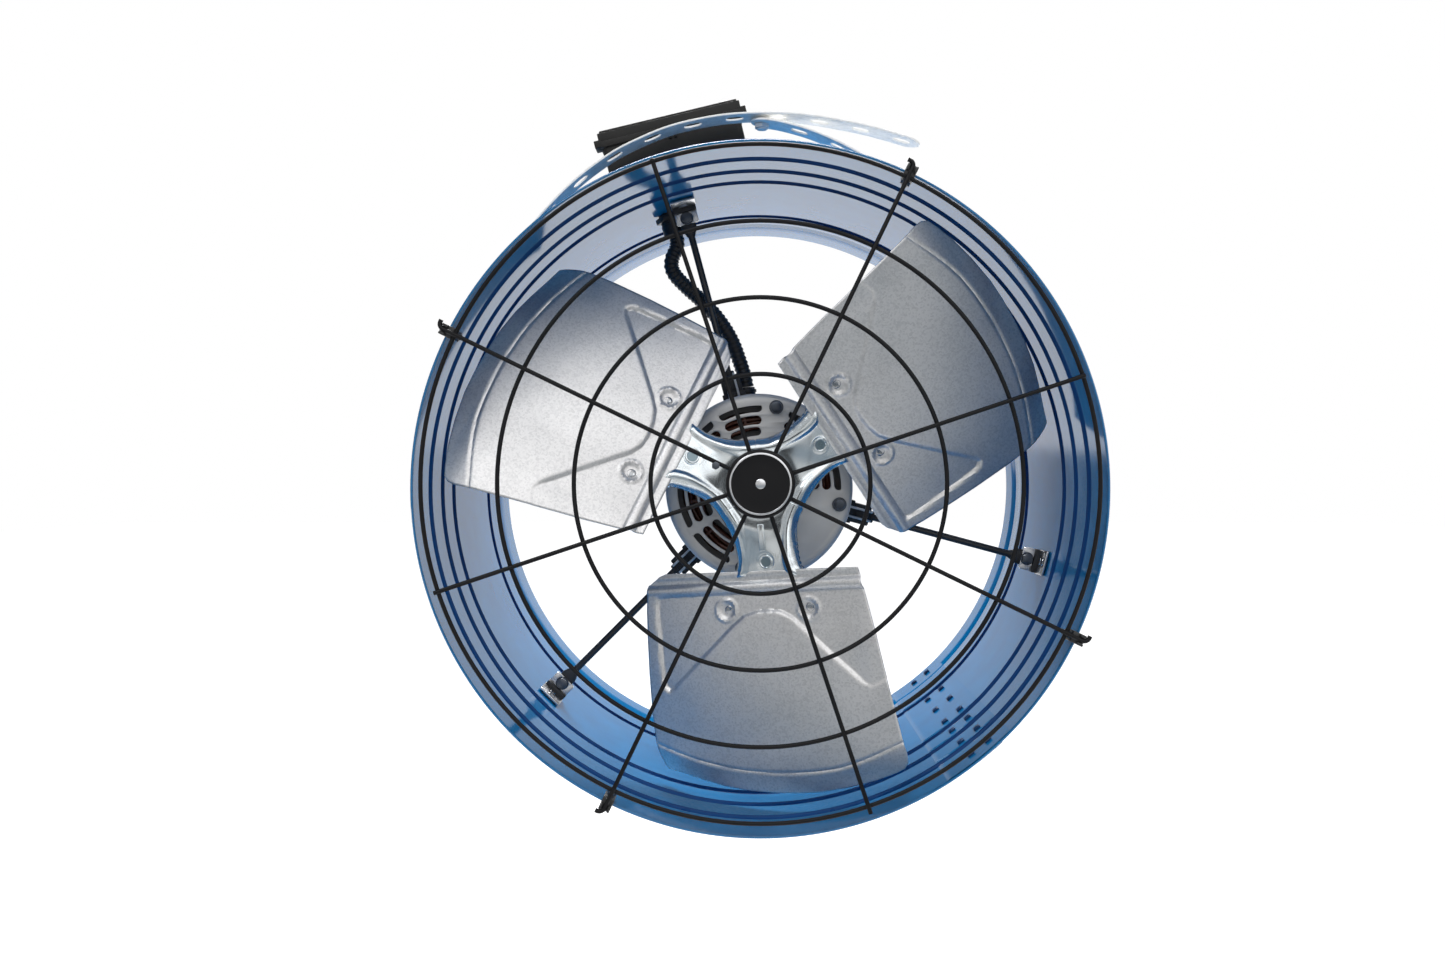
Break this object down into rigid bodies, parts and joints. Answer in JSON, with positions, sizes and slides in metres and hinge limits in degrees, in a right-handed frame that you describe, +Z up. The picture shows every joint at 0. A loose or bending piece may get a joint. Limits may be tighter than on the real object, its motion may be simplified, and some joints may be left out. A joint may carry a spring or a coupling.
{
  "type": "inline duct fan",
  "caption": "Round inline duct fan: sheet drum, pitched blades on a strut-held motor, wire guard in front, wiring box and hanging strap outside.",
  "frame": {"origin": "centre of the drum's front rim plane, on the drum axis; the strap holds the drum about this axis", "axes": "+Y along the drum axis from the guarded front to the open rear; +Z up, towards the side with the wiring box"},
  "size_m": [0.3927, 0.29, 0.4293],
  "materials": {
    "drum_coating": "glossy deep blue coating over steel",
    "black_coating": "semi-gloss black",
    "dark_steel": "dark plated",
    "motor_grey": "satin grey, stamped",
    "bright_steel": "bright, machined or plated",
    "winding_copper": "enamelled copper",
    "black_rubber": "matte",
    "grey_plastic": "matte moulded",
    "pale_plastic": "matte moulded",
    "black_plastic": "smooth",
    "galvanised": "hot-dip galvanised, fine spangle",
    "zinc": "bright zinc plate"
  },
  "bodies": {
    "housing": {"drum_shell": "drum_coating", "wire_guard": "black_coating", "guard_badge": "black_coating", "guard_clip_1": "black_coating", "guard_clip_2": "black_coating", "guard_clip_3": "black_coating", "guard_clip_4": "black_coating", "guard_screw_1": "dark_steel", "guard_screw_2": "dark_steel", "guard_screw_3": "dark_steel", "guard_screw_4": "dark_steel", "motor_front_cover": "motor_grey", "motor_rear_cover": "motor_grey", "stator_core": "bright_steel", "winding_front": "winding_copper", "winding_rear": "winding_copper", "bearing_front": "bright_steel", "bearing_rear": "bright_steel", "through_bolt_1": "bright_steel", "through_bolt_2": "bright_steel", "through_bolt_3": "bright_steel", "through_bolt_4": "bright_steel", "strut_block_1": "black_rubber", "strut_block_2": "black_rubber", "strut_block_3": "black_rubber", "strut_1": "dark_steel", "strut_2": "dark_steel", "strut_3": "dark_steel", "strut_bracket_1": "bright_steel", "strut_bracket_2": "bright_steel", "strut_bracket_3": "bright_steel", "bracket_bolt_1": "dark_steel", "bracket_bolt_2": "dark_steel", "bracket_bolt_3": "dark_steel", "conduit_motor_fitting": "black_rubber", "conduit": "black_rubber", "conduit_gland": "black_rubber", "box_base": "grey_plastic", "box_lid": "grey_plastic", "lid_screw_1": "bright_steel", "lid_screw_2": "bright_steel", "terminal_block": "pale_plastic", "run_capacitor": "black_plastic", "hanging_strap": "galvanised", "strap_bolt": "bright_steel"},
    "rotor": {"blade_spider": "zinc", "spider_hub": "bright_steel", "hub_set_screw": "dark_steel", "motor_shaft": "bright_steel", "rotor_core": "bright_steel", "blade_1": "galvanised", "blade_2": "galvanised", "blade_3": "galvanised", "blade_rivet_1": "zinc", "blade_rivet_2": "zinc", "blade_rivet_3": "zinc", "blade_rivet_4": "zinc", "blade_rivet_5": "zinc", "blade_rivet_6": "zinc"}
  },
  "joints": [
    {"name": "rotor_spin", "type": "hinge", "parent": "housing", "child": "rotor", "pos_m": [0, 0.058, 0], "axis": [0, 1, 0], "continuous": true}
  ]
}
